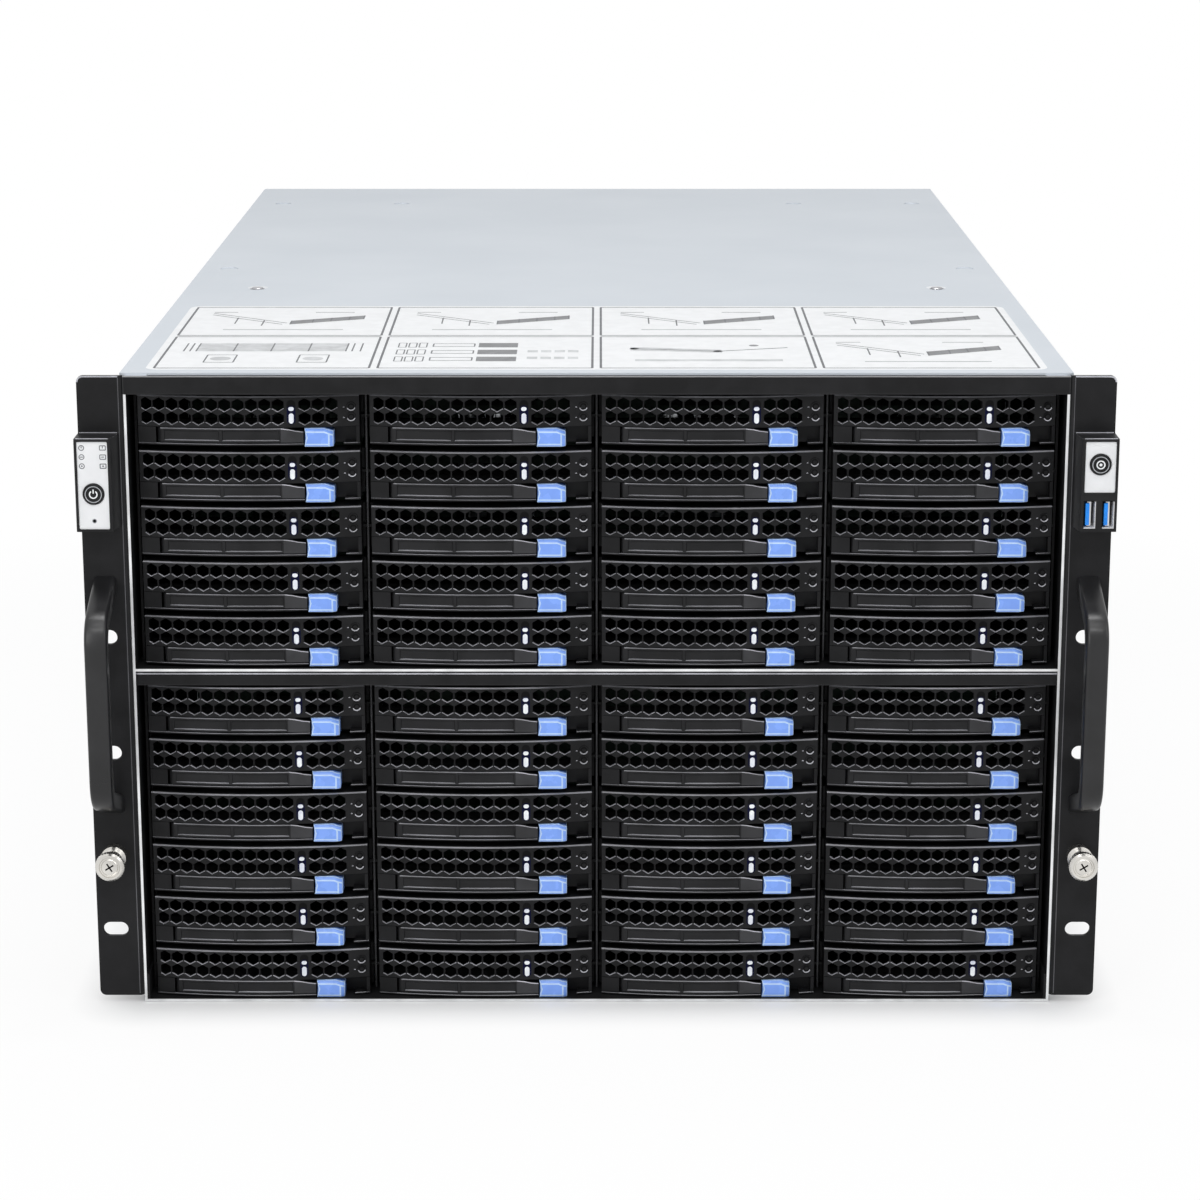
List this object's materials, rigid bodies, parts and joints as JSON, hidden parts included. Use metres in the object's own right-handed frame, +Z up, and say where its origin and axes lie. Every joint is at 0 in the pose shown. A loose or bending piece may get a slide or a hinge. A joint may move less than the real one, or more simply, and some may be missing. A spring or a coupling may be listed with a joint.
{
  "type": "rackmount server chassis",
  "caption": "Tall rackmount storage server chassis with hot-swap drive trays across its front, rack ears, bow handles, thumbscrews, fans and slide-in power supplies.",
  "frame": {"origin": "middle of the underside of the body, without the ears' and handles' reach", "axes": "+X to the right seen from the front, +Y to the rear, +Z up"},
  "size_m": [0.4826, 0.7418, 0.3108],
  "materials": {
    "galvanized": "galvanised sheet with a fine spangle",
    "cover_paint": "pale blue-grey satin sheet",
    "black_paint": "fine black powder coat",
    "handle_black": "satin black",
    "nickel": "bright nickel",
    "screw_steel": "dark zinc",
    "bezel_plastic": "fine-grained black",
    "lever_plastic": "satin black",
    "frame_plastic": "matt black",
    "latch_blue": "satin blue",
    "light_pipe": "milky clear",
    "housing_plastic": "fine-grained black",
    "panel_plate": "pale satin plate",
    "button_plastic": "satin black",
    "usb_shell": "bright stamped steel",
    "board_green": "solder mask",
    "fan_plastic": "moulded black",
    "rotor_plastic": "moulded black",
    "supply_metal": "plated sheet",
    "supply_latch": "green release tab",
    "brass": "turned brass"
  },
  "bodies": {
    "chassis": {"base_pan": "galvanized", "side_panel_left": "galvanized", "side_panel_right": "galvanized", "rear_panel": "galvanized", "rear_vent_panel": "galvanized", "fan_rails": "galvanized", "power_supply_cage": "galvanized", "slot_covers": "galvanized", "front_top_beam": "black_paint", "front_mid_beam": "black_paint", "ear_left": "black_paint", "ear_right": "black_paint", "drive_cage_lower": "black_paint", "drive_cage_upper": "black_paint", "handle_left": "handle_black", "handle_right": "handle_black", "thumbscrew_collars": "nickel", "handle_screws": "screw_steel", "tray_bezels": "bezel_plastic", "tray_levers": "lever_plastic", "tray_frames": "frame_plastic", "tray_latches": "latch_blue", "left_panel_housing": "housing_plastic", "right_panel_housing": "housing_plastic", "left_panel_plate": "panel_plate", "right_panel_plate": "panel_plate", "usb_ports": "usb_shell", "backplane_lower": "board_green", "backplane_upper": "board_green", "fan_frames": "fan_plastic", "board_standoffs": "brass"},
    "cover": {"top_cover": "cover_paint", "cover_screws": "screw_steel"},
    "upper_tray": {"upper_tray_frame": "frame_plastic", "upper_tray_bezel": "bezel_plastic", "upper_tray_light_pipes": "light_pipe"},
    "upper_tray_lever": {"upper_tray_lever": "lever_plastic"},
    "upper_tray_latch": {"upper_tray_latch": "latch_blue"},
    "lower_tray": {"lower_tray_frame": "frame_plastic", "lower_tray_bezel": "bezel_plastic", "lower_tray_light_pipes": "light_pipe"},
    "lower_tray_lever": {"lower_tray_lever": "lever_plastic"},
    "lower_tray_latch": {"lower_tray_latch": "latch_blue"},
    "thumbscrew_left": {"thumbscrew_left": "nickel"},
    "thumbscrew_right": {"thumbscrew_right": "nickel"},
    "power_button": {"power_button": "button_plastic"},
    "locate_button": {"locate_button": "button_plastic"},
    "fan_rotor_1": {"fan_rotor_1": "rotor_plastic"},
    "fan_rotor_2": {"fan_rotor_2": "rotor_plastic"},
    "fan_rotor_3": {"fan_rotor_3": "rotor_plastic"},
    "fan_rotor_4": {"fan_rotor_4": "rotor_plastic"},
    "fan_rotor_5": {"fan_rotor_5": "rotor_plastic"},
    "fan_rotor_6": {"fan_rotor_6": "rotor_plastic"},
    "power_supply_1": {"power_supply_1": "supply_metal"},
    "power_supply_latch_1": {"power_supply_latch_1": "supply_latch"},
    "power_supply_2": {"power_supply_2": "supply_metal"},
    "power_supply_latch_2": {"power_supply_latch_2": "supply_latch"}
  },
  "joints": [
    {"name": "cover_lift", "type": "slide", "parent": "chassis", "child": "cover", "axis": [0, 0, 1], "range_m": [0, 0.12]},
    {"name": "upper_tray_slide", "type": "slide", "parent": "chassis", "child": "upper_tray", "axis": [0, -1, 0], "range_m": [0, 0.15]},
    {"name": "upper_tray_lever_swing", "type": "hinge", "parent": "upper_tray", "child": "upper_tray_lever", "pos_m": [-0.0943, -0.33341, 0.2272], "axis": [0, 0, -1], "range_deg": [0, 65]},
    {"name": "upper_tray_latch_slide", "type": "slide", "parent": "upper_tray", "child": "upper_tray_latch", "axis": [1, 0, 0], "range_m": [0, 0.0045], "stiffness_N_per_m": 200},
    {"name": "lower_tray_slide", "type": "slide", "parent": "chassis", "child": "lower_tray", "axis": [0, -1, 0], "range_m": [0, 0.15]},
    {"name": "lower_tray_lever_swing", "type": "hinge", "parent": "lower_tray", "child": "lower_tray_lever", "pos_m": [0.0141, -0.33341, 0.0863], "axis": [0, 0, -1], "range_deg": [0, 65]},
    {"name": "lower_tray_latch_slide", "type": "slide", "parent": "lower_tray", "child": "lower_tray_latch", "axis": [1, 0, 0], "range_m": [0, 0.0045], "stiffness_N_per_m": 200},
    {"name": "thumbscrew_left_turn", "type": "hinge", "parent": "chassis", "child": "thumbscrew_left", "pos_m": [-0.2314, -0.342, 0.0762], "axis": [0, -1, 0], "continuous": true},
    {"name": "thumbscrew_right_turn", "type": "hinge", "parent": "chassis", "child": "thumbscrew_right", "pos_m": [0.2314, -0.342, 0.0762], "axis": [0, -1, 0], "continuous": true},
    {"name": "power_button_press", "type": "slide", "parent": "chassis", "child": "power_button", "axis": [0, 1, 0], "range_m": [0, 0.0012], "stiffness_N_per_m": 600},
    {"name": "locate_button_press", "type": "slide", "parent": "chassis", "child": "locate_button", "axis": [0, 1, 0], "range_m": [0, 0.0012], "stiffness_N_per_m": 600},
    {"name": "fan_1_spin", "type": "hinge", "parent": "chassis", "child": "fan_rotor_1", "pos_m": [-0.13, -0.087, 0.08157], "axis": [0, 1, 0], "continuous": true},
    {"name": "fan_2_spin", "type": "hinge", "parent": "chassis", "child": "fan_rotor_2", "pos_m": [0, -0.087, 0.08157], "axis": [0, 1, 0], "continuous": true},
    {"name": "fan_3_spin", "type": "hinge", "parent": "chassis", "child": "fan_rotor_3", "pos_m": [0.13, -0.087, 0.08157], "axis": [0, 1, 0], "continuous": true},
    {"name": "fan_4_spin", "type": "hinge", "parent": "chassis", "child": "fan_rotor_4", "pos_m": [-0.13, -0.087, 0.22757], "axis": [0, 1, 0], "continuous": true},
    {"name": "fan_5_spin", "type": "hinge", "parent": "chassis", "child": "fan_rotor_5", "pos_m": [0, -0.087, 0.22757], "axis": [0, 1, 0], "continuous": true},
    {"name": "fan_6_spin", "type": "hinge", "parent": "chassis", "child": "fan_rotor_6", "pos_m": [0.13, -0.087, 0.22757], "axis": [0, 1, 0], "continuous": true},
    {"name": "power_supply_1_slide", "type": "slide", "parent": "chassis", "child": "power_supply_1", "axis": [0, 1, 0], "range_m": [0, 0.15]},
    {"name": "power_supply_1_latch_slide", "type": "slide", "parent": "power_supply_1", "child": "power_supply_latch_1", "axis": [-1, 0, 0], "range_m": [0, 0.0029], "stiffness_N_per_m": 300},
    {"name": "power_supply_2_slide", "type": "slide", "parent": "chassis", "child": "power_supply_2", "axis": [0, 1, 0], "range_m": [0, 0.15]},
    {"name": "power_supply_2_latch_slide", "type": "slide", "parent": "power_supply_2", "child": "power_supply_latch_2", "axis": [-1, 0, 0], "range_m": [0, 0.0029], "stiffness_N_per_m": 300}
  ]
}
